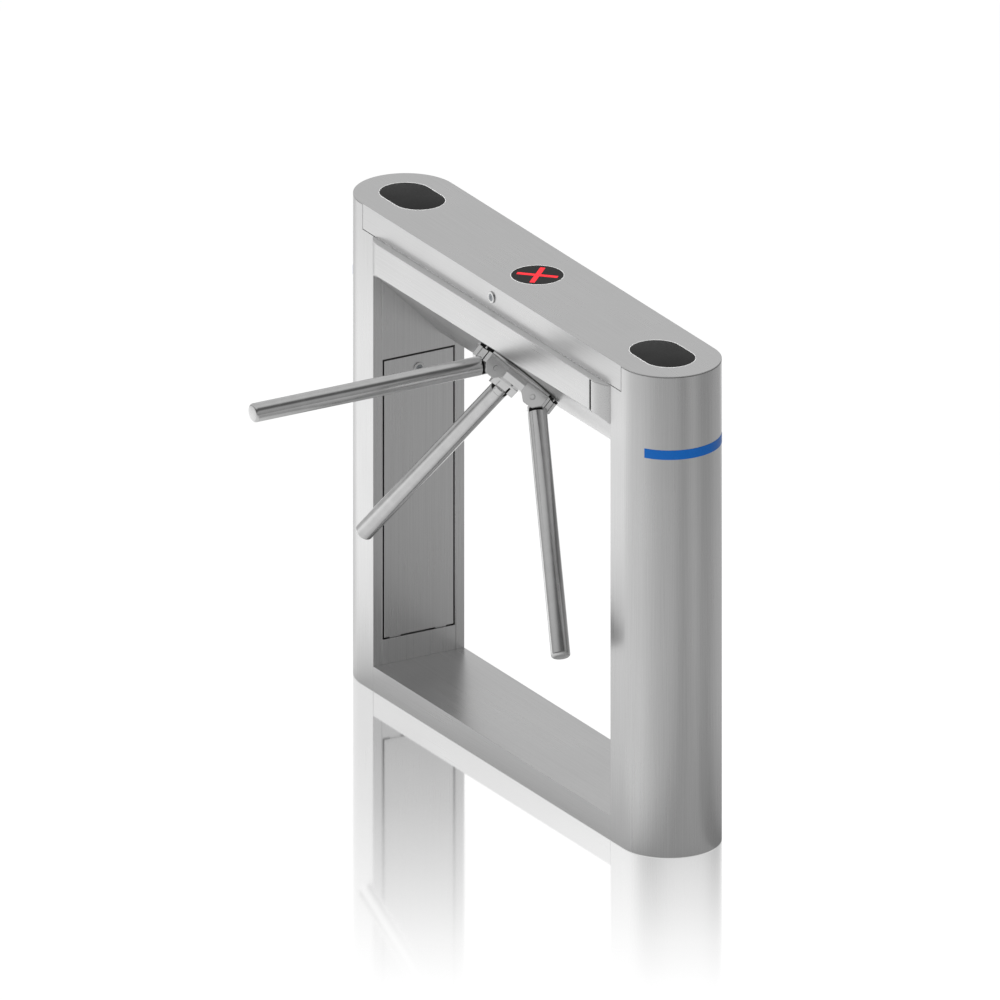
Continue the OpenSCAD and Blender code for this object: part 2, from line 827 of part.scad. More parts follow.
post_shell(-1);  // left_post_shell
post_shell(1);  // right_post_shell
inner_panel(-1);  // left_inner_panel
inner_panel(1);  // right_inner_panel
anchor_plate(-1);  // left_anchor_plate
anchor_plate(1);  // right_anchor_plate
floor_channel();
floor_cover();
stripe(-1);  // left_stripe
stripe(1);  // right_stripe
housing();
front_cover();
end_cover();
lid_keeper();
mechanism_plate();
bearing_housing();
bearing(plate_z0 - bearing_w);  // front_bearing
bearing(case_z0);  // rear_bearing
mechanism_frame();
solenoid(-1);  // left_solenoid
solenoid(1);  // right_solenoid
power_supply();
controller();
lid_hinge_fixed();
door(-1);  // left_door
on_door(-1) lock_barrel(door_t);  // left_door_barrel
on_door(-1) lock_plug();  // left_door_plug
door(1);  // right_door
on_door(1) lock_barrel(door_t);  // right_door_barrel
on_door(1) lock_plug();  // right_door_plug
lid();
lid_hinge_leaf();
on_apron() lock_barrel(sheet);  // lid_barrel
on_apron() rotate([0, 0, 180]) lock_plug();  // lid_plug
window(-1);  // left_window
window(1);  // right_window
bezel(-1);  // left_bezel
bezel(1);  // right_bezel
indicator_lens();
indicator_bezel();
indicator_cross();
main_shaft();
index_wheel();
hub_flange();
hub_casting();
arm_knuckle(1);  // arm_knuckle_1
arm_knuckle(2);  // arm_knuckle_2
arm_knuckle(3);  // arm_knuckle_3
arm_pin(1);  // arm_pin_1
arm_pin(2);  // arm_pin_2
arm_pin(3);  // arm_pin_3
arm_tube(1);  // arm_tube_1
arm_tube(2);  // arm_tube_2
arm_tube(3);  // arm_tube_3
pawl(-1);  // left_pawl
pawl(1);  // right_pawl
plunger(-1);  // left_plunger
plunger(1);  // right_plunger
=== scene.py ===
"""Looks of a tripod turnstile: a satin stainless cabinet, a polished hub with its three arms, and the works
under its lid.

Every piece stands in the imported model's own frame, in metres, and rides on one of its bodies.
"""

import json
import math

import bmesh
import bpy
import numpy as np
from bpy.props import FloatProperty, PointerProperty, StringProperty
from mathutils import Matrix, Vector


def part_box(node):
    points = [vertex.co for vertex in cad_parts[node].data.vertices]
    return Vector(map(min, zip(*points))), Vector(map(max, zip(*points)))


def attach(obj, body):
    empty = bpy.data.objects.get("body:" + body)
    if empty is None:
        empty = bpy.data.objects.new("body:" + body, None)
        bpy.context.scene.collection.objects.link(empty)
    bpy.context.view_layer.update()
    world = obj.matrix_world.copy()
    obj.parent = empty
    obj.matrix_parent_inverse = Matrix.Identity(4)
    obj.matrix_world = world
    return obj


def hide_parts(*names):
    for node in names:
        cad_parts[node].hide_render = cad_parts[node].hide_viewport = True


bl_info = {
    "name": "Tripod turnstile",
    "version": (1, 0, 0),
    "blender": (4, 5, 0),
    "location": "View3D > Sidebar > Turnstile",
    "description": "Builds the looks of a tripod turnstile round its packed frame",
    "category": "Object",
}

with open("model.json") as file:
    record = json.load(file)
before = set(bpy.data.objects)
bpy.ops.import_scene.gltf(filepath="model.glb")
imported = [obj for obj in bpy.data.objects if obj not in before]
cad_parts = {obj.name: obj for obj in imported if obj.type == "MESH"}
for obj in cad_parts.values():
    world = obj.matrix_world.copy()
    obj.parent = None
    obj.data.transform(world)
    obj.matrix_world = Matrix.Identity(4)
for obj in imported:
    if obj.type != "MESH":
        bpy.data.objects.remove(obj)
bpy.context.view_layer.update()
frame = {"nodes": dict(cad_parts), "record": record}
NODE_BODY = {
    name: body for body, names in frame["record"]["behaviour"]["bodies"].items() for name in names
}

# Where the arms meet, and the hub's unit vectors: across the cabinet, up the slope, and out along its axis.
APEX = np.array((0.0, -0.012, 0.820))
ACROSS = np.array((1.0, 0.0, 0.0))
UP_SLOPE = np.array((0.0, -math.sqrt(0.5), math.sqrt(0.5)))
OUT = np.array((0.0, -math.sqrt(0.5), -math.sqrt(0.5)))
ARM_TURNS = (90.0, 210.0, 330.0)

# Axes of an outline that lies flat and rises, and of an upright one that comes forwards.
LYING = ((1, 0, 0), (0, 1, 0), (0, 0, 1))
FACING = ((1, 0, 0), (0, 0, 1), (0, -1, 0))
TOWARDS_FRONT = (0.0, -1.0, 0.0)


# ---- Colours and shader nodes ------------------------------------------------------------------


def linear(code):
    """Linear colour of an sRGB hex code: c / 12.92 up to 0.04045, and above it (c + 0.055) / 1.055 to the
    power 2.4."""
    channels = (int(code[i : i + 2], 16) / 255 for i in (1, 3, 5))
    return tuple(c / 12.92 if c <= 0.04045 else ((c + 0.055) / 1.055) ** 2.4 for c in channels) + (1.0,)


def add_node(tree, kind, sockets=(), **settings):
    """Adds one node. Its sockets are given by name or in order, and each gets a value or a link: a node
    stands for its first output."""
    made = tree.nodes.new(kind)
    for key, value in settings.items():
        setattr(made, key, value)
    for key, value in sockets.items() if isinstance(sockets, dict) else enumerate(sockets):
        if isinstance(value, bpy.types.Node):
            value = value.outputs[0]
        if isinstance(value, bpy.types.NodeSocket):
            tree.links.new(value, made.inputs[key])
        else:
            made.inputs[key].default_value = value
    return made


def new_material(name):
    """An empty node material with its output, and the object coordinates that all patterns here read."""
    material = bpy.data.materials.new(name)
    material.use_nodes = True
    tree = material.node_tree
    tree.nodes.clear()
    output = add_node(tree, "ShaderNodeOutputMaterial")
    place = add_node(tree, "ShaderNodeTexCoord").outputs["Object"]
    return material, tree, output, place


# Most of a noise pattern's values lie between these two.
NOISE_REACH = (0.3, 0.7)
NOISE = "ShaderNodeTexNoise"
METAL = {"Metallic": 1.0}


def patterned(
    name, pattern, colours, rough=None, relief=None, shader=None, mapping=None, haze=None, bands=False
):
    """A finish ruled by a pattern on object coordinates: over the pattern's reach, the colour and the
    roughness go from the first of their two values to the second.

    The pattern is noise, or a wave in bands along Z, and mapping turns or stretches it. Relief is the
    (strength, distance) of its bumps. Haze is a second noise, which adds -0.02 to 0.02 to the roughness.
    """
    material, tree, output, place = new_material(name)
    vector = add_node(tree, "ShaderNodeMapping", {"Vector": place, **mapping}) if mapping else place
    if bands:
        made = add_node(tree, "ShaderNodeTexWave", {"Vector": vector, **pattern}, bands_direction="Z")
        reach = (0.0, 1.0)
    else:
        made = add_node(tree, NOISE, {"Vector": vector, **pattern})
        reach = NOISE_REACH
    value = made.outputs["Fac"]
    sockets = dict(shader or {})
    factor = add_node(tree, "ShaderNodeMapRange", (value, *reach, 0.0, 1.0))
    dark, light = (linear(code) for code in colours)
    mixed = add_node(tree, "ShaderNodeMix", {"Factor": factor, 6: dark, 7: light}, data_type="RGBA")
    sockets["Base Color"] = mixed.outputs[2]
    if rough:
        sockets["Roughness"] = add_node(tree, "ShaderNodeMapRange", (value, *reach, *rough))
    if haze:
        cloud = add_node(tree, NOISE, {"Vector": place, **haze}).outputs["Fac"]
        more = add_node(tree, "ShaderNodeMapRange", (cloud, *NOISE_REACH, -0.02, 0.02))
        both = (sockets["Roughness"], more)
        sockets["Roughness"] = add_node(tree, "ShaderNodeMath", both, operation="ADD")
    if relief:
        strength, distance = relief
        bump = {"Strength": strength, "Distance": distance, "Height": value}
        sockets["Normal"] = add_node(tree, "ShaderNodeBump", bump)
    surface = add_node(tree, "ShaderNodeBsdfPrincipled", sockets)
    tree.links.new(surface.outputs["BSDF"], output.inputs["Surface"])
    return material


def satin_stainless(name, axis, colours, rough):
    """AISI 304 sheet with a belt-ground satin grain: streaks about 1.5 mm apart, coarser than the real
    0.2 mm so that they show, a soft haze from wiping, and reflections that are blurred but readable.

    The grain has few cells per metre along the named axis and many across it.
    """
    lengthwise = 5.0
    across = 650.0
    return patterned(
        name,
        {"Scale": 1.0, "Detail": 3.0, "Roughness": 0.6},
        colours,
        (rough - 0.03, rough + 0.03),
        relief=(0.06, 0.0002),
        shader=METAL,
        mapping={"Scale": tuple(lengthwise if letter == axis else across for letter in "XYZ")},
        haze={"Scale": 7.0, "Detail": 4.0},
    )


def bright_stainless(name, colours, rough):
    """Polished stainless tube and castings: a nearly clear reflection, dulled in faint patches by hands."""
    wiped = {"Scale": 45.0, "Detail": 5.0, "Roughness": 0.55}
    return patterned(name, wiped, colours, (rough - 0.03, rough + 0.04), shader=METAL)


def machined_steel(name):
    """Turned and milled carbon steel with a film of oil: fine tool marks and a slightly cool grey."""
    marks = {"Scale": 420.0, "Detail": 2.0}
    return patterned(name, marks, ("#8f9396", "#a5a9ac"), (0.3, 0.42), (0.12, 0.0002), METAL)


def zinc_plate(name):
    """Bright zinc plating on folded steel: cloudy patches about 25 mm wide, bluer and yellower in turn."""
    clouds = {"Scale": 38.0, "Detail": 6.0, "Distortion": 0.6}
    return patterned(name, clouds, ("#a9aeb2", "#c2c0b2"), (0.28, 0.5), shader=METAL)


def moulded(name, colours, rough, scale=300.0, depth=0.1, specular=0.5):
    """Moulded or printed plastic: a faint grain of the given scale, and a gloss set by its roughness."""
    grain = {"Scale": scale, "Detail": 2.0}
    shine = {"Specular IOR Level": specular}
    return patterned(name, grain, colours, (rough - 0.03, rough + 0.03), (depth, 0.0001), shine)


def lit_diffuser(name, colour):
    """Red acrylic diffuser with its lamps on: an even glow over a faint grain in the acrylic."""
    lamps = {"Emission Color": linear(colour), "Emission Strength": 1.0}
    shader = {"Roughness": 0.35, "Specular IOR Level": 0.1, **lamps}
    return patterned(name, {"Scale": 160.0, "Detail": 1.0}, ("#a00c12", "#b41018"), shader=shader)


def copper_winding(name):
    """Enamelled copper wire under clear varnish: darker lines 1.6 mm apart along the slope, coarser than
    the real wire so that they show."""
    return patterned(
        name,
        {"Scale": 200.0, "Distortion": 0.3, "Detail": 1.0},
        ("#6b2f16", "#b5622f"),
        relief=(0.5, 0.0004),
        shader={"Metallic": 0.7, "Roughness": 0.35, "Coat Weight": 0.5},
        mapping={"Rotation": (math.radians(45.0), 0.0, 0.0)},
        bands=True,
    )


MATERIALS = {}


def finishes():
    """All the finishes, made once: each record slot has its own, and sheet metal has one for each way of
    the grain."""
    if MATERIALS:
        return MATERIALS
    looks = bpy.context.scene.turnstile_finishes
    sheet = ((looks.sheet_dark, looks.sheet_light), looks.sheet_rough)
    bright = ((looks.bright_dark, looks.bright_light), looks.bright_rough)
    MATERIALS.update(
        sheet_long=satin_stainless("Satin stainless, grain along the cabinet", "X", *sheet),
        sheet_up=satin_stainless("Satin stainless, grain upright", "Z", *sheet),
        # Paler and duller than the ground sheet: a painted highlight, a lighter copy of the satin sheet, so
        # that a ledge stays bright beside the lid.
        ledge=satin_stainless("Satin stainless, ledge painted lighter", "X", ("#f2f2f2", "#fafafa"), 0.5),
        polished=bright_stainless("Polished stainless", *bright),
        machined=machined_steel("Machined steel, oiled"),
        plated=zinc_plate("Zinc-plated steel"),
        # Black right through: nothing shows below the windows, and they shine only faintly.
        window=moulded("Smoked acrylic, gloss", ("#0c0c0c", "#101010"), 0.45, 200.0, 0.02, 0.2),
        red_light=lit_diffuser("Red acrylic diffuser, lit", looks.cross_colour),
        # An even, saturated blue with the slight orange peel of printed film.
        marker=moulded("Blue cast vinyl film", ("#0264bc", "#0a6ac4"), 0.35, 500.0, 0.05, 0.3),
        # The weave of the glass cloth shows through the solder mask as a fine grain.
        board=moulded("Epoxy circuit board, green mask", ("#12442a", "#1b5a38"), 0.4, 260.0, 0.15, 0.5),
        # A dull black with the fine roughness that glass fibres give.
        black_plastic=moulded("Glass-filled nylon, black", ("#060606", "#0a0a0a"), 0.6, 600.0, 0.3, 0.12),
        winding=copper_winding("Enamelled copper wire"),
        # Smooth moulded cases with a soft gloss.
        relay=moulded("Polyester case, blue", ("#1c4f8c", "#225a9b"), 0.35, 500.0, 0.1),
        # Nearly white: clear silicone scatters the light that enters it, and as the lid's seal this pale
        # colour is a painted highlight in the gap's shade.
        bezel=moulded("Clear silicone bead", ("#f4f4f4", "#fdfdfd"), 0.4, 300.0, 0.02),
        # Matt moulding with a light grain, in the usual green of screw terminals.
        terminal=moulded("Polyamide terminal block, green", ("#3f8a4f", "#4a9a5b"), 0.45, 500.0, 0.15),
    )
    return MATERIALS


# ---- Meshes ------------------------------------------------------------------------------------


def place_piece(name, mesh, body, material, slot):
    """Links a finished mesh at the origin and puts it on its body with its finish."""
    piece = bpy.data.objects.new(name, mesh)
    bpy.context.collection.objects.link(piece)
    mesh.materials.clear()
    mesh.materials.append(material)
    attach(piece, body)
    return piece


def grid_mesh(name, points, close_u=False, close_v=False, smooth=True):
    """Mesh of a grid of points, u by v by 3: each cell is one quad, and a closed direction joins its last
    row to its first."""
    count_u, count_v = points.shape[:2]
    u = np.arange(count_u if close_u else count_u - 1)
    v = np.arange(count_v if close_v else count_v - 1)
    u, v = (a.ravel() for a in np.meshgrid(u, v, indexing="ij"))
    next_u, next_v = (u + 1) % count_u, (v + 1) % count_v
    corners = np.stack(
        (u * count_v + v, next_u * count_v + v, next_u * count_v + next_v, u * count_v + next_v), axis=1
    )
    mesh = bpy.data.meshes.new(name)
    mesh.from_pydata(points.reshape(-1, 3).tolist(), [], corners.tolist())
    tidy = bmesh.new()
    tidy.from_mesh(mesh)
    bmesh.ops.remove_doubles(tidy, verts=tidy.verts, dist=1e-6)
    bmesh.ops.recalc_face_normals(tidy, faces=tidy.faces)
    tidy.to_mesh(mesh)
    tidy.free()
    if smooth:
        mesh.shade_smooth()
    else:
        mesh.shade_flat()
    return mesh


def revolved(name, radii, heights, origin, axis, steps=64):
    """Surface of revolution: point = origin + height * axis + radius * (cos t * side + sin t * other)."""
    axis = np.asarray(axis) / np.linalg.norm(axis)
    side = np.cross(axis, (0.0, 0.0, 1.0) if abs(axis[2]) < 0.9 else (1.0, 0.0, 0.0))
    side /= np.linalg.norm(side)
    other = np.cross(axis, side)
    t = np.linspace(0.0, 2.0 * math.pi, steps, endpoint=False)
    ring = np.cos(t)[:, None, None] * side + np.sin(t)[:, None, None] * other
    points = (
        np.asarray(origin)
        + np.asarray(heights)[None, :, None] * axis
        + np.asarray(radii)[None, :, None] * ring
    )
    return grid_mesh(name, points, close_u=True)


def outline_normals(outline):
    """Outward unit normals of a closed outline run anticlockwise: each point's neighbours give its tangent,
    and the normal is that turned to the right."""
    tangent = np.roll(outline, -1, axis=0) - np.roll(outline, 1, axis=0)
    tangent /= np.linalg.norm(tangent, axis=1)[:, None]
    return np.stack((tangent[:, 1], -tangent[:, 0]), axis=1)


def stadium_outline(length, width, steps=32):
    """Two half circles joined by straights: centres at +-(length - width) / 2, and round each of them
    width / 2 * (cos t, sin t)."""
    t = np.linspace(-math.pi / 2.0, math.pi / 2.0, steps)
    arc = width / 2.0 * np.stack((np.cos(t), np.sin(t)), axis=1)
    offset = np.array(((length - width) / 2.0, 0.0))
    return np.concatenate((arc + offset, -arc - offset))


def rounded_outline(length, width, corner, steps=5):
    """Rectangle with round corners: a corner's centre plus corner * (cos t, sin t) over a quarter turn."""
    quarter = np.linspace(0.0, math.pi / 2.0, steps)
    turns = (quarter[None, :] + math.pi / 2.0 * np.arange(4)[:, None]).ravel()
    centres = np.repeat(np.array(((1, 1), (-1, 1), (-1, -1), (1, -1))), steps, axis=0)
    centres = centres * (np.array((length, width)) / 2.0 - corner)
    return centres + corner * np.stack((np.cos(turns), np.sin(turns)), axis=1)


def lofted(name, outline, levels, origin, across, along, up, closed=False):
    """A profile carried round an outline: point = origin + (outline + out * normal) in the plane of across
    and along + height * up, for each (out, height) of the levels. Unless it is closed, its ends are drawn
    in to the middle."""
    normals = outline_normals(outline)
    out, height = np.array(levels).T
    flat = outline[:, None, :] + out[None, :, None] * normals[:, None, :]
    if not closed:
        middle = np.broadcast_to(outline.mean(axis=0), (len(outline), 1, 2))
        flat = np.concatenate((middle, flat, middle), axis=1)
        height = np.concatenate((height[:1], height, height[-1:]))
    points = (
        np.asarray(origin)
        + flat[:, :, :1] * np.asarray(across)
        + flat[:, :, 1:] * np.asarray(along)
        + height[None, :, None] * np.asarray(up)
    )
    return grid_mesh(name, points, close_u=True, close_v=closed, smooth=False)


def smooth_by_angle(mesh, degrees=32.0):
    """Smooth shading, with edges sharper than the angle kept sharp."""
    mesh.shade_smooth()
    mesh.set_sharp_from_angle(angle=math.radians(degrees))
    return mesh


def cap_screw(name, centre, axis, radius, height):
    """Socket head cap screw: rings of radius r(t), round outside and six-sided in the socket, where
    r = across / 2 / cos of the angle left over from the nearest flat."""
    axis = np.asarray(axis) / np.linalg.norm(axis)
    side = np.cross(axis, (1.0, 0.0, 0.0) if abs(axis[0]) < 0.9 else (0.0, 1.0, 0.0))
    side /= np.linalg.norm(side)
    other = np.cross(axis, side)
    t = np.linspace(0.0, 2.0 * math.pi, 48, endpoint=False)
    leftover = np.mod(t + math.pi / 6.0, math.pi / 3.0) - math.pi / 6.0
    hexagon = 0.5 * radius / np.cos(leftover)
    ring = np.ones_like(t)
    none, full, eased = 0.0 * ring, radius * ring, 0.93 * radius * ring
    radii = np.stack((none, full, full, eased, hexagon, hexagon, none), axis=1)
    heights = height * np.array((0.0, 0.0, 0.93, 1.0, 1.0, 0.5, 0.45))
    around = np.cos(t)[:, None] * side + np.sin(t)[:, None] * other
    points = np.asarray(centre) + radii[:, :, None] * around[:, None, :] + heights[None, :, None] * axis
    return smooth_by_angle(grid_mesh(name, points, close_u=True))


def eased_copy(node, material, slot, width, segments=2):
    """The CAD node's own shape with its sharp edges eased, as a deburred or folded edge is: doubles merged,
    flat triangles joined, and each edge over 30 degrees rounded to the given width."""
    source = frame["nodes"][node]
    mesh = source.data.copy()
    mesh.transform(source.matrix_world)
    shape = bmesh.new()
    shape.from_mesh(mesh)
    bmesh.ops.remove_doubles(shape, verts=shape.verts, dist=2e-6)
    bmesh.ops.dissolve_limit(
        shape,
        angle_limit=math.radians(0.3),
        verts=shape.verts,
        edges=shape.edges,
        use_dissolve_boundaries=False,
    )
    shape.to_mesh(mesh)
    shape.free()
    for layer in ("custom_normal", "sharp_edge", "sharp_face"):
        if layer in mesh.attributes:
            mesh.attributes.remove(mesh.attributes[layer])
    mesh.shade_smooth()
    piece = place_piece("eased_" + node, mesh, NODE_BODY[node], material, slot)
    bevel = piece.modifiers.new("Eased edges", "BEVEL")
    bevel.width = width
    bevel.segments = segments
    bevel.limit_method = "ANGLE"
    bevel.angle_limit = math.radians(30.0)
    bevel.use_clamp_overlap = False
    bevel.harden_normals = False
    even = piece.modifiers.new("Flat faces", "WEIGHTED_NORMAL")
    even.mode = "FACE_AREA"
    even.weight = 50
    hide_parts(node)
    return piece


def hub_point(x, y, z):
    """Place of a point in the hub's own frame: apex + x across + y up the slope + z out along the axis."""
    return APEX + x * ACROSS + y * UP_SLOPE + z * OUT


# ---- Properties --------------------------------------------------------------------------------


class TurnstileSizes(bpy.types.PropertyGroup):
    """Sizes of the details that the looks add."""

    fold_ease: FloatProperty(
        name="Sheet edge",
        description="Rounding of a cut or folded sheet edge",
        default=0.0008,
        min=0.0002,
        max=0.0009,
        unit="LENGTH",
    )
    hub_ease: FloatProperty(
        name="Hub edge",
        description="Rounding of the hub's edges",
        default=0.0007,
        min=0.0002,
        max=0.002,
        unit="LENGTH",
    )
    view_width: FloatProperty(
        name="View width",
        description="Width that the camera takes in",
        default=1.8975,
        min=1.0,
        unit="LENGTH",
    )


class TurnstileFinishes(bpy.types.PropertyGroup):
    """Colours and gloss of the main finishes, as sRGB hex codes."""

    sheet_dark: StringProperty(
        name="Sheet, dark", description="Darkest streak of the satin sheet", default="#d1d1d1"
    )
    sheet_light: StringProperty(
        name="Sheet, light", description="Lightest streak of the satin sheet", default="#dcdcdc"
    )
    sheet_rough: FloatProperty(
        name="Sheet roughness",
        description="Blur of the sheet's reflections",
        default=0.3,
        min=0.05,
        max=0.9,
    )
    bright_dark: StringProperty(
        name="Bright, dark", description="Polished steel in wiped patches", default="#cfcfcf"
    )
    bright_light: StringProperty(
        name="Bright, light", description="Polished steel elsewhere", default="#d9d9d9"
    )
    bright_rough: FloatProperty(
        name="Bright roughness", description="Blur of the polish", default=0.16, min=0.05, max=0.9
    )
    cross_colour: StringProperty(name="Cross", description="Colour of the lit cross", default="#ff2a36")


# ---- Operators ---------------------------------------------------------------------------------

# A cover's face is a ledge where its normal's Z is over this; such upward faces get the paler finish, a
# painted highlight.
PAINTED_LEDGE_MIN_Z = 0.95
# The two sides of an arm, by the letter in a piece's name and by the sign along sideways.
SIDES = (("a", -1.0), ("b", 1.0))
# The arm's tube: its outer radius and wall, and how far its root and tip are from the apex.
ARM_RADIUS = 0.0185
ARM_WALL = 0.002
ARM_ROOT = 0.1175
ARM_TIP = 0.613
# The coils: how far they are from the middle, the ends of their ridges up the slope, and their radii.
COIL_APART = 0.124
COIL_ENDS = (0.0082, 0.0468)
COIL_RIDGES = 24
COIL_BORE = 0.0135
COIL_RADIUS = 0.0152
COIL_RIDGE = 0.0009
# Y of the front of the controller's board.
BOARD_FRONT = 0.084
# Outline of a knuckle's cheek, as (outwards, out) from the apex.
CHEEK = np.array(
    ((0.047, 0.0488), (0.0925, 0.0488), (0.0925, 0.0693), (0.0788, 0.083), (0.0612, 0.083), (0.047, 0.0692))
)


class CabinetOperator(bpy.types.Operator):
    """Posts, beam, housing and covers in satin sheet, with the covers' level faces painted lighter, and the
    seal along the lid's front edge, whose near-white colour is a painted highlight
    """

    bl_idname = "turnstile.cabinet"
    bl_label = "Cabinet"

    def execute(self, context):
        kit = finishes()
        ease = context.scene.turnstile_sizes.fold_ease
        for node in ("left_post_shell", "right_post_shell", "left_inner_panel", "right_inner_panel"):
            eased_copy(node, kit["sheet_up"], "sheet", ease)
        for node in ("floor_channel", "housing", "front_cover", "end_cover"):
            piece = eased_copy(node, kit["sheet_long"], "sheet", ease)
            if node in ("front_cover", "end_cover"):
                # Faces that point up take the paler ledge finish: a painted highlight, lighter only because
                # they face up.
                piece.data.materials.append(kit["ledge"])
                for face in piece.data.polygons:
                    face.material_index = int(face.normal.z > PAINTED_LEDGE_MIN_Z)
        # The seal in the gap under the lid's front edge is near white: a painted highlight, a bright line
        # where the gap's shade falls.
        outline = rounded_outline(0.89, 0.0024, 0.0008)
        levels = ((-0.0004, 0.92705), (0.0, 0.9273), (-0.0002, 0.9278))
        seal = lofted("lid_seal_painted_highlight", outline, levels, (0.0, -0.0978, 0.0), *LYING)
        place_piece("lid_seal_painted_highlight", smooth_by_angle(seal), "cabinet", kit["bezel"], "bezel")
        return {"FINISHED"}


class DoorsOperator(bpy.types.Operator):
    """Access doors in their posts"""

    bl_idname = "turnstile.doors"
    bl_label = "Doors"

    def execute(self, context):
        kit = finishes()
        for node in ("left_door", "right_door"):
            eased_copy(node, kit["sheet_up"], "sheet", 0.0006)
        return {"FINISHED"}


class LidOperator(bpy.types.Operator):
    """Lid with its reader windows and indicator"""

    bl_idname = "turnstile.lid"
    bl_label = "Lid"

    def execute(self, context):
        kit = finishes()
        eased_copy("lid", kit["sheet_long"], "sheet", 0.0009, 3)
        eased_copy("indicator_lens", kit["window"], "window", 0.0004)
        eased_copy("indicator_cross", kit["red_light"], "red_light", 0.0002)
        for side in ("left", "right"):
            low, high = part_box(side + "_window")
            middle = ((low.x + high.x) / 2.0, 0.0, 0.0)
            outline = stadium_outline(high.x - low.x, high.y - low.y)
            glass = ((0.0, low.z), (0.0, high.z - 0.0005), (-0.0002, high.z - 0.0001), (-0.0006, high.z))
            self.cover(side + "_window", outline, glass, middle, kit["window"], "window")
            self.bead(side + "_bezel", outline, middle, kit["bezel"])
        t = np.linspace(0.0, 2.0 * math.pi, 96, endpoint=False)
        low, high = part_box("indicator_lens")
        circle = (high.x - low.x) / 2.0 * np.stack((np.cos(t), np.sin(t)), axis=1)
        self.bead("indicator_bezel", circle, (0.0, 0.0, 0.0), kit["bezel"])
        return {"FINISHED"}

    def cover(self, node, outline, levels, middle, material, slot, closed=False):
        """A piece carried round an outline in place of a CAD node."""
        mesh = lofted("worked_" + node, outline, levels, middle, *LYING, closed)
        piece = place_piece("worked_" + node, smooth_by_angle(mesh), NODE_BODY[node], material, slot)
        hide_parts(node)

    def bead(self, node, outline, middle, material):
        """Round-topped bead between a window and the lid: its top is a half circle of radius r."""
        r = 0.00075
        low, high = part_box(node)
        t = np.linspace(0.0, math.pi, 7)
        top = np.stack((r + r * np.cos(t), high.z - r + r * np.sin(t)), axis=1)
        levels = np.concatenate((((0.0, low.z), (2.0 * r, low.z)), top))
        self.cover(node, outline, levels, middle, material, "bezel", closed=True)


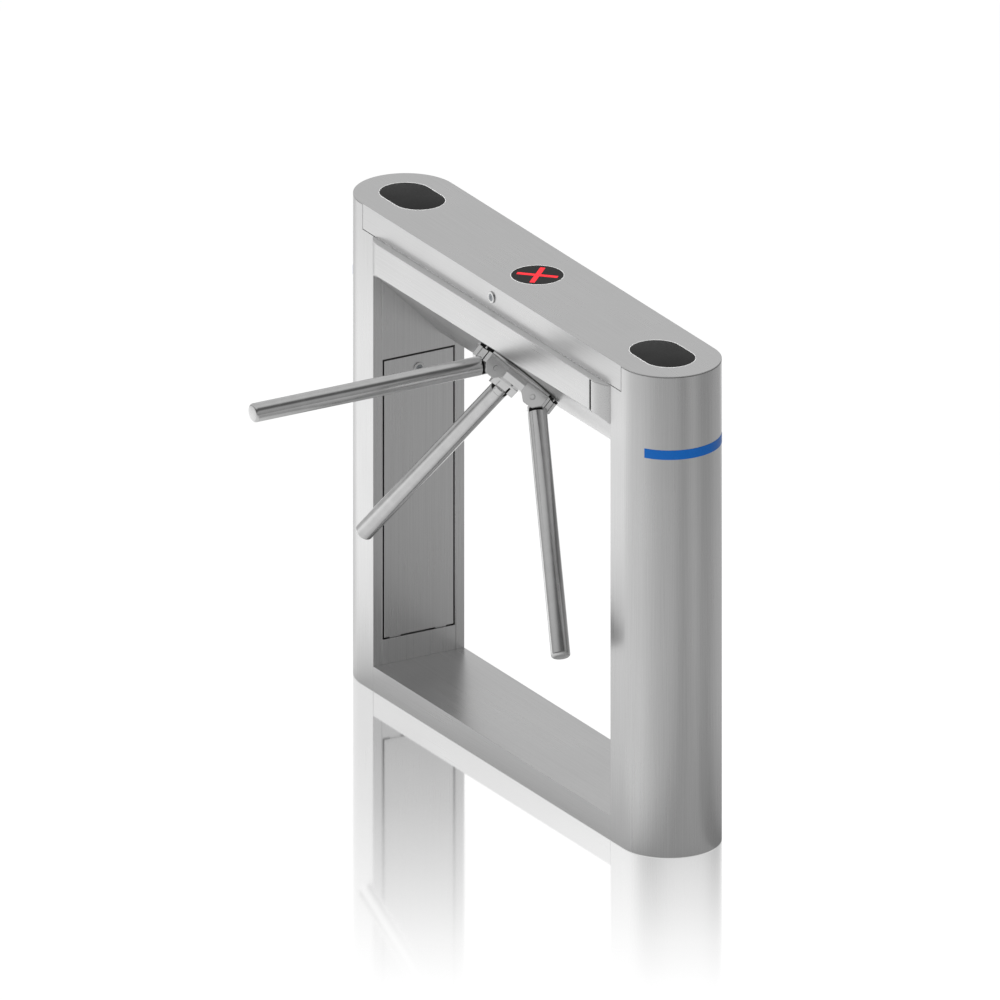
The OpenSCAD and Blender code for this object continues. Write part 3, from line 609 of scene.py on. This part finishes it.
class HubOperator(bpy.types.Operator):
    """Hub, knuckles, pins and arm tubes"""

    bl_idname = "turnstile.hub"
    bl_label = "Hub and arms"

    def execute(self, context):
        kit = finishes()
        ease = context.scene.turnstile_sizes.hub_ease
        for node in ("hub_flange", "hub_casting"):
            eased_copy(node, kit["polished"], "polished", ease)
        for i in (1, 2, 3):
            eased_copy(f"arm_knuckle_{i}", kit["polished"], "polished", ease)
            eased_copy(f"arm_pin_{i}", kit["polished"], "polished", 0.0005)
            self.arm(i, kit)
        return {"FINISHED"}

    def arm(self, i, kit):
        """One arm and what fills its root. Its unit vectors are outwards and sideways, which turn about the
        hub's axis, and along = (outwards + out) / sqrt 2."""
        turn = math.radians(ARM_TURNS[i - 1])
        outwards = math.cos(turn) * ACROSS + math.sin(turn) * UP_SLOPE
        sideways = -math.sin(turn) * ACROSS + math.cos(turn) * UP_SLOPE
        along = math.sqrt(0.5) * (outwards + OUT)
        self.tube(i, kit, along)
        self.root(i, kit, along, sideways)
        self.cheeks(i, kit, outwards, sideways)

    def tube(self, i, kit, along):
        """Tube turned from (radius, distance along) points: its wall, a rim whose edge is a quarter circle
        of the corner's radius, and a crown that falls by its height times the square of the way out."""
        r = ARM_RADIUS
        bore = ARM_RADIUS - ARM_WALL
        corner = 0.005
        crown = 0.0006
        edge = 0.0006
        plug = ((0.0, ARM_TIP - 0.007), (bore, ARM_TIP - 0.007), (bore, ARM_ROOT + 0.05))
        wall = ((bore, ARM_ROOT), (r - edge, ARM_ROOT), (r, ARM_ROOT + edge), (r, 0.3))
        t = np.linspace(0.0, math.pi / 2.0, 7)
        turned = np.stack((np.cos(t), np.sin(t)), axis=1)
        rim = np.array((r - corner, ARM_TIP - corner - crown)) + corner * turned
        fall = crown * np.linspace(0.8, 0.0, 6) ** 2
        dome = np.stack((np.linspace(r - 0.007, 0.0, 6), ARM_TIP - fall), axis=1)
        profile = np.concatenate((plug, wall, rim, dome))
        mesh = revolved(f"tube_{i}", profile[:, 0], profile[:, 1], APEX, along, 72)
        tube = place_piece(f"tube_{i}", smooth_by_angle(mesh, 40.0), "rotor", kit["polished"], "polished")
        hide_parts(f"arm_tube_{i}")

    def root(self, i, kit, along, sideways):
        """Black circle segments on both sides of the tongue, painted shade between the tube's root and the
        knuckle, and the bright neck between their chords: each is an arc of radius r, cut where r cos t or r
        sin t reaches half the tongue."""
        upwards = np.cross(along, sideways)
        r = 0.0178
        half_tongue = 0.0121
        t = np.linspace(-math.acos(half_tongue / r), math.acos(half_tongue / r), 15)
        segment = r * np.stack((np.cos(t), np.sin(t)), axis=1)
        levels = ((0.0, 0.1105), (0.0, ARM_ROOT))
        # Painted shade: black segments fill the space beside the tongue, between the tube's end and the
        # cheeks, where shadow falls.
        for letter, side in SIDES:
            name = f"gap_{i}_{letter}"
            painted_shade = lofted(name, segment, levels, APEX, side * sideways, side * upwards, along)
            place_piece(name, painted_shade, "rotor", kit["black_plastic"], "black_trim")
        r = 0.0182
        half_tongue = 0.0119
        t = np.linspace(-math.asin(half_tongue / r), math.asin(half_tongue / r), 15)
        arc = r * np.stack((np.sin(t), -np.cos(t)), axis=1)
        levels = ((-0.004, 0.101), (0.0, 0.105), (0.0, ARM_ROOT))
        neck = lofted(f"neck_{i}", np.concatenate((arc, -arc)), levels, APEX, sideways, upwards, along)
        place_piece(f"neck_{i}", smooth_by_angle(neck), "rotor", kit["polished"], "polished")

    def cheeks(self, i, kit, outwards, sideways):
        """Liners on the knuckle's two cheeks, a proud black one and a bright one that lies lower, each the
        cheek's outline risen sideways, and the black pads on which the cheeks stand."""
        proud_side = -1.0 if i == 1 else 1.0
        for letter, side in SIDES:
            if side == proud_side:
                near, far, out = 0.0098, 0.0142, 0.0003
                looks = (kit["black_plastic"], "black_trim")
            else:
                near, far, out = 0.0121, 0.0129, -0.0004
                looks = (kit["polished"], "polished")
            low, high = sorted((side * near, side * far))
            name = f"liner_{i}_{letter}"
            liner = lofted(name, CHEEK, ((out, low), (out, high)), APEX, outwards, OUT, sideways)
            place_piece(name, liner, "rotor", *looks)
            name = f"pad_{i}_{letter}"
            middle = APEX + 0.0913 * outwards + side * 0.013 * sideways
            outline = rounded_outline(0.0066, 0.0192, 0.0004)
            pad = lofted(name, outline, ((0.0, 0.0436), (0.0, 0.0482)), middle, outwards, sideways, OUT)
            place_piece(name, pad, "rotor", kit["black_plastic"], "black_trim")


class LocksOperator(bpy.types.Operator):
    """Cam locks of the lid and doors"""

    bl_idname = "turnstile.locks"
    bl_label = "Locks"

    def execute(self, context):
        kit = finishes()
        for node in ("left_door_barrel", "right_door_barrel", "lid_barrel"):
            eased_copy(node, kit["polished"], "polished", 0.0005)
        for node in ("left_door_plug", "right_door_plug", "lid_plug"):
            eased_copy(node, kit["machined"], "machined", 0.0002)
        return {"FINISHED"}


class InsideOperator(bpy.types.Operator):
    """Windings, circuit board parts and screws under the lid"""

    bl_idname = "turnstile.inside"
    bl_label = "Inside"

    def execute(self, context):
        kit = finishes()
        self.winding("left", -COIL_APART, kit)
        self.winding("right", COIL_APART, kit)
        self.board_parts(kit)
        self.screws(kit)
        return {"FINISHED"}

    def winding(self, side, x, kit):
        """Hollow coil with round ridges, of radius r + ridge * sqrt(1 - (2 u - 1)^2), where u runs from 0 to
        1 over a ridge. Its bore lets the plunger pass."""
        turn = np.linspace(0.0, COIL_RIDGES, 6 * COIL_RIDGES + 1)
        ridges = COIL_RADIUS + COIL_RIDGE * np.sqrt(1.0 - (2.0 * np.mod(turn, 1.0) - 1.0) ** 2)
        radii = np.concatenate(((COIL_BORE,), ridges, (COIL_BORE, COIL_BORE)))
        low, high = COIL_ENDS
        heights = np.concatenate(((low,), low + (high - low) / COIL_RIDGES * turn, (high, low)))
        coil = revolved(side + "_winding", radii, heights, hub_point(x, 0.0, -0.06), UP_SLOPE, 48)
        place_piece(side + "_winding", smooth_by_angle(coil), "cabinet", kit["winding"], "machined")

    def board_parts(self, kit):
        """Relays, terminal blocks with their screws, capacitors and a chip on the controller's front. A
        capacitor is turned from its (radius, height) points, with a groove near its foot."""
        size = (0.0204, 0.0264)
        for k in range(4):
            self.block(f"relay_{k}", 0.246 + 0.034 * k, 0.798, size, 0.0157, kit["relay"], "window")
        size = (0.1484, 0.0094)
        depth = 0.0105
        for level, z in (("lower", 0.7485), ("upper", 0.8315)):
            self.block(level + "_terminals", 0.3, z, size, depth, kit["terminal"], "board")
            for k in range(14):
                name = f"{level}_terminal_screw_{k}"
                foot = (0.235 + 0.01 * k, BOARD_FRONT - depth + 0.0002, z)
                screw = cap_screw(name, foot, TOWARDS_FRONT, 0.0026, 0.0006)
                place_piece(name, screw, "cabinet", kit["plated"], "plated")
        radii = (0.0, 0.005, 0.005, 0.0046, 0.005, 0.005, 0.0044, 0.0)
        heights = (0.0, 0.0, 0.001, 0.0016, 0.0022, 0.0115, 0.012, 0.012)
        for k, x in enumerate((0.25, 0.268, 0.286)):
            name = f"capacitor_{k}"
            can = revolved(name, radii, heights, (x, BOARD_FRONT, 0.769), TOWARDS_FRONT, 40)
            place_piece(name, smooth_by_angle(can), "cabinet", kit["black_plastic"], "black_trim")
        self.block("chip", 0.33, 0.769, (0.018, 0.018), 0.0016, kit["black_plastic"], "black_trim")

    def block(self, name, x, z, size, depth, material, slot):
        """Box with eased edges on the board: its outline in X and Z, stepped in over its last 0.5 mm."""
        levels = ((0.0, 0.0), (0.0, depth - 0.0004), (-0.0001, depth - 0.0001), (-0.0004, depth))
        outline = rounded_outline(*size, 0.0006, 3)
        mesh = lofted(name, outline, levels, (x, BOARD_FRONT, z), *FACING)
        place_piece(name, smooth_by_angle(mesh), "cabinet", material, slot)

    def screws(self, kit):
        """Socket head screws of the bearing housing, the frame's upper pillars and the lid's hinges."""
        circle = 0.047
        quarters = np.radians((0.0, 90.0, 180.0, 270.0))
        places = [(circle * math.cos(a), circle * math.sin(a), -0.0125) for a in quarters]
        places += [(-0.1, 0.06, -0.042), (0.1, 0.06, -0.042)]
        for k, place in enumerate(places):
            screw = cap_screw(f"frame_screw_{k}", hub_point(*place), -OUT, 0.005, 0.005)
            place_piece(f"frame_screw_{k}", screw, "cabinet", kit["machined"], "machined")
        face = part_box("lid_hinge_fixed")[0].y
        for k, x in enumerate((-0.33, -0.27, 0.27, 0.33)):
            screw = cap_screw(f"hinge_screw_{k}", (x, face, 0.934), TOWARDS_FRONT, 0.0038, 0.0024)
            place_piece(f"hinge_screw_{k}", screw, "cabinet", kit["machined"], "machined")


class FinishOperator(bpy.types.Operator):
    """Finish of each CAD node that stays as it is"""

    bl_idname = "turnstile.finish"
    bl_label = "Other finishes"

    def execute(self, context):
        kit = finishes()
        for part in frame["record"]["subparts"]:
            node = frame["nodes"][part["node"]]
            if node.hide_render:
                continue
            slot = part["material_slot"]
            node.data.materials.clear()
            node.data.materials.append(kit["sheet_long" if slot == "sheet" else slot])
        return {"FINISHED"}


class StageOperator(bpy.types.Operator):
    """Pale mirror floor, soft studio light and the camera"""

    bl_idname = "turnstile.stage"
    bl_label = "Stage"

    def execute(self, context):
        scene = context.scene
        scene.view_settings.view_transform = "Standard"
        make_floor()
        make_world(scene)
        make_lamps()
        make_camera(scene)
        return {"FINISHED"}


# The camera looks from this far round and this far up, at this point, from this distance.
VIEW_TURN = math.radians(60.0)
VIEW_RISE = math.radians(21.3)
VIEW_AIM = (-0.1419, 0.0, 0.4737)
VIEW_DISTANCE = 5.0

# Brightness of the studio by the cosine of the angle from its bright side, which is up and to the left.
BRIGHT_SIDE = (math.radians(190.0), math.radians(55.0))
STUDIO_LEVELS = (
    (-1.0, 0.3), (-0.38, 0.38), (-0.2, 0.42), (-0.1, 0.35), (-0.03, 0.25), (0.05, 0.14), (0.1, 0.12),
    (0.22, 0.12), (0.36, 0.13), (0.42, 0.2), (0.47, 0.34), (0.52, 0.49), (0.6, 0.61), (0.66, 0.67),
    (0.7, 0.68), (0.78, 0.66), (0.87, 0.62), (1.0, 0.62),
)
# Brightness of the floor, as the object mirrors it, by compass direction in degrees from +X towards +Y.
FLOOR_LEVELS = (
    (-180.0, 1.17), (-168.0, 1.26), (-150.0, 1.37), (-125.0, 1.14), (-97.0, 0.86), (-75.0, 0.7),
    (-50.0, 0.54), (-17.0, 0.5), (17.0, 0.54), (31.0, 0.5), (36.0, 0.34), (60.0, 0.3), (91.0, 0.42),
    (112.0, 0.95), (128.0, 1.55), (143.0, 1.25), (156.0, 1.5), (168.0, 1.27), (180.0, 1.17),
)
# That brightness is also scaled by Y, and by the distance from the middle: from, to, and the scale at each.
# The first two are added: 1 before the cabinet, 0.62 under it and 1.12 behind it; the dip under and just
# behind the cabinet is a painted shadow on the floor's glow.
FLOOR_BEFORE = (-0.4, -0.1, 1.0, 0.62)
FLOOR_BEHIND = (0.1, 0.8, 0.0, 0.5)
FLOOR_FAR = (2.2, 5.0, 1.0, 0.42)
# The directions are taken from the nearest point of the cabinet's middle line, between these values of X.
MIDDLE_LINE = (-0.5, 0.5)
# How much the floor mirrors, by how far a place is towards the viewer, in metres from the object's middle,
# and how that fades to the sides: from, to, and the scale at each.
MIRROR_LEVELS = (
    (-1.5, 0.0), (-0.85, 0.4), (-0.5, 0.915), (-0.08, 0.9), (0.23, 0.76), (0.54, 0.54), (0.75, 0.38),
    (0.96, 0.2), (1.17, 0.07), (1.35, 0.0),
)
MIRROR_ASIDE = (0.45, 0.95, 1.0, 0.0)
WHITE = (1.0, 1.0, 1.0, 1.0)


def level_ramp(tree, value, levels):
    """Grey level of a value, straight between the given (value, level) pairs."""
    low, high = levels[0][0], levels[-1][0]
    scaled = add_node(tree, "ShaderNodeMapRange", (value, low, high))
    ramp = add_node(tree, "ShaderNodeValToRGB", (scaled,))
    stops = ramp.color_ramp.elements
    for place, level in levels[1:-1]:
        stops.new((place - low) / (high - low))
    for stop, (place, level) in zip(stops, levels):
        stop.position = (place - low) / (high - low)
        stop.color = (level, level, level, 1.0)
    return ramp


def seen_directly(tree):
    """1 where the camera looks straight at a surface or through clear ones, and 0 in what metal mirrors."""
    path = add_node(tree, "ShaderNodeLightPath").outputs
    rays = (path["Is Camera Ray"], path["Is Transmission Ray"])
    return add_node(tree, "ShaderNodeMath", rays, operation="MAXIMUM")


def make_floor():
    """White floor with a soft mirror: radius r and angle t give the point (r cos t, r sin t, -0.5 mm)."""
    r = np.array((0.0, 1.0, 3.0, 9.0))
    t = np.linspace(0.0, 2.0 * math.pi, 48, endpoint=False)[:, None]
    points = np.stack(np.broadcast_arrays(r * np.cos(t), r * np.sin(t), -0.0005), axis=2)
    mesh = grid_mesh("floor", points, close_u=True, smooth=False)
    if mesh.polygons[0].normal.z < 0:
        mesh.flip_normals()
    floor = bpy.data.objects.new("floor", mesh)
    bpy.context.collection.objects.link(floor)
    mesh.materials.append(floor_material())


def floor_material():
    """Polished pale floor: white and partly a mirror to the camera, and a studio floor's grey levels to the
    object, whose metal mirrors them."""
    material, tree, output, place = new_material("Pale floor, polished")
    paint = add_node(tree, "ShaderNodeBsdfDiffuse", {"Color": (0.85, 0.85, 0.85, 1.0)})
    camera_side = white_with_mirror(tree, place, paint)
    object_side = floor_levels(tree, place, paint)
    both = add_node(tree, "ShaderNodeMixShader", (seen_directly(tree), object_side, camera_side))
    tree.links.new(both.outputs[0], output.inputs["Surface"])
    return material


def white_with_mirror(tree, place, paint):
    """White floor that mirrors a share of what stands on it: the share is its level towards the viewer
    times its fade to the sides, and the white is (1.08 - 1.03 * share) / (1 - share), so both make white."""
    towards = (math.sin(VIEW_TURN), -math.cos(VIEW_TURN), 0.0)
    sidewards = (math.cos(VIEW_TURN), math.sin(VIEW_TURN), 0.0)
    nearer = add_node(tree, "ShaderNodeVectorMath", (place, towards), operation="DOT_PRODUCT")
    beside = add_node(tree, "ShaderNodeVectorMath", (place, sidewards), operation="DOT_PRODUCT")
    aside = add_node(tree, "ShaderNodeMath", (beside.outputs["Value"],), operation="ABSOLUTE")
    fade = add_node(tree, "ShaderNodeMapRange", (aside, *MIRROR_ASIDE))
    level = level_ramp(tree, nearer.outputs["Value"], MIRROR_LEVELS)
    share = add_node(tree, "ShaderNodeMath", (level, fade), operation="MULTIPLY")
    left_over = add_node(tree, "ShaderNodeMath", (share, -1.03, 1.08), operation="MULTIPLY_ADD")
    rest = add_node(tree, "ShaderNodeMath", (1.0, share), operation="SUBTRACT")
    brightness = add_node(tree, "ShaderNodeMath", (left_over, rest), operation="DIVIDE")
    white = add_node(tree, "ShaderNodeEmission", (WHITE, brightness))
    plain = add_node(tree, "ShaderNodeMixShader", (0.12, white, paint))
    gloss = add_node(tree, "ShaderNodeBsdfGlossy", {"Color": (1.5, 1.5, 1.5, 1.0), "Roughness": 0.06})
    return add_node(tree, "ShaderNodeMixShader", (share, plain, gloss))


def floor_levels(tree, place, paint):
    """Floor as the metal mirrors it: its level by direction, which is 180 / pi * atan2(y, x - the middle
    line's nearest x) degrees, times its scales by Y and by distance."""
    apart = add_node(tree, "ShaderNodeSeparateXYZ", (place,)).outputs
    nearest = add_node(tree, "ShaderNodeClamp", (apart["X"], *MIDDLE_LINE))
    beyond = add_node(tree, "ShaderNodeMath", (apart["X"], nearest), operation="SUBTRACT")
    turn = add_node(tree, "ShaderNodeMath", (apart["Y"], beyond), operation="ARCTAN2")
    degrees = add_node(tree, "ShaderNodeMath", (turn, math.degrees(1.0)), operation="MULTIPLY")
    # Painted shadow: the scale by Y dims the floor's glow under and just behind the cabinet.
    before = add_node(tree, "ShaderNodeMapRange", (apart["Y"], *FLOOR_BEFORE))
    behind = add_node(tree, "ShaderNodeMapRange", (apart["Y"], *FLOOR_BEHIND))
    across = add_node(tree, "ShaderNodeMath", (before, behind), operation="ADD")
    reach = add_node(tree, "ShaderNodeVectorMath", (place,), operation="LENGTH").outputs["Value"]
    far = add_node(tree, "ShaderNodeMapRange", (reach, *FLOOR_FAR))
    strength = add_node(tree, "ShaderNodeMath", (across, far), operation="MULTIPLY")
    glow = add_node(tree, "ShaderNodeEmission", (level_ramp(tree, degrees, FLOOR_LEVELS), strength))
    return add_node(tree, "ShaderNodeMixShader", (0.15, glow, paint))


def make_world(scene):
    """Plain white to the camera, and to the object the studio's level in each direction, by its dot product
    with the bright side, (cos turn cos up, sin turn cos up, sin up)."""
    world = bpy.data.worlds.new("Studio")
    world.use_nodes = True
    tree = world.node_tree
    tree.nodes.clear()
    output = add_node(tree, "ShaderNodeOutputWorld")
    direction = add_node(tree, "ShaderNodeTexCoord").outputs["Generated"]
    turn, up = BRIGHT_SIDE
    middle = (math.cos(turn) * math.cos(up), math.sin(turn) * math.cos(up), math.sin(up))
    aligned = add_node(tree, "ShaderNodeVectorMath", (direction, middle), operation="DOT_PRODUCT")
    around = level_ramp(tree, aligned.outputs["Value"], STUDIO_LEVELS)
    sockets = {"Factor": seen_directly(tree), 6: around, 7: WHITE}
    shade = add_node(tree, "ShaderNodeMix", sockets, data_type="RGBA").outputs[2]
    back = add_node(tree, "ShaderNodeBackground", (shade, 1.0))
    tree.links.new(back.outputs[0], output.inputs["Surface"])
    scene.world = world


def make_lamps():
    """Three broad lamps for whatever isn't metal: they aren't mirrored, because the studio's walls are."""
    for name, place, width, power in (
        ("Front lamp", (-1.6, -2.6, 2.4), 2.0, 30.0),
        ("End lamp", (2.6, -1.4, 1.8), 2.0, 30.0),
        ("Top lamp", (0.0, 0.6, 3.2), 2.4, 30.0),
    ):
        data = bpy.data.lights.new(name, "AREA")
        data.size = width
        data.energy = power
        lamp = bpy.data.objects.new(name, data)
        lamp.location = place
        lamp.rotation_euler = (Vector((0.0, 0.0, 0.6)) - lamp.location).to_track_quat("-Z", "Y").to_euler()
        lamp.visible_glossy = False
        bpy.context.collection.objects.link(lamp)


def make_camera(scene):
    """Parallel view, from the front turned by the view's turn and up by its rise."""
    data = bpy.data.cameras.new("Camera")
    data.type = "ORTHO"
    data.ortho_scale = scene.turnstile_sizes.view_width
    data.clip_start = 0.1
    data.clip_end = 60.0
    flat = math.cos(VIEW_RISE)
    back = Vector((math.sin(VIEW_TURN) * flat, -math.cos(VIEW_TURN) * flat, math.sin(VIEW_RISE)))
    camera = bpy.data.objects.new("Camera", data)
    camera.location = Vector(VIEW_AIM) + VIEW_DISTANCE * back
    camera.rotation_euler = (-back).to_track_quat("-Z", "Y").to_euler()
    bpy.context.collection.objects.link(camera)
    scene.camera = camera


class TurnstilePanel(bpy.types.Panel):
    """Buttons for the turnstile's pieces"""

    bl_idname = "VIEW3D_PT_turnstile"
    bl_label = "Turnstile"
    bl_space_type = "VIEW_3D"
    bl_region_type = "UI"
    bl_category = "Turnstile"

    def draw(self, context):
        for group in (context.scene.turnstile_sizes, context.scene.turnstile_finishes):
            for key in group.__annotations__:
                self.layout.prop(group, key)
        for operator in OPERATORS:
            self.layout.operator(operator.bl_idname)


OPERATORS = (
    CabinetOperator,
    DoorsOperator,
    LidOperator,
    HubOperator,
    LocksOperator,
    InsideOperator,
    FinishOperator,
    StageOperator,
)
CLASSES = (TurnstileSizes, TurnstileFinishes, *OPERATORS, TurnstilePanel)


def register():
    for cls in CLASSES:
        bpy.utils.register_class(cls)
    bpy.types.Scene.turnstile_sizes = PointerProperty(type=TurnstileSizes)
    bpy.types.Scene.turnstile_finishes = PointerProperty(type=TurnstileFinishes)


def unregister():
    del bpy.types.Scene.turnstile_finishes
    del bpy.types.Scene.turnstile_sizes
    for cls in reversed(CLASSES):
        bpy.utils.unregister_class(cls)


def main():
    """Builds the pieces and the stage."""
    register()
    bpy.ops.turnstile.cabinet()
    bpy.ops.turnstile.doors()
    bpy.ops.turnstile.lid()
    bpy.ops.turnstile.hub()
    bpy.ops.turnstile.locks()
    bpy.ops.turnstile.inside()
    bpy.ops.turnstile.finish()
    bpy.ops.turnstile.stage()


if __name__ == "__main__":
    main()
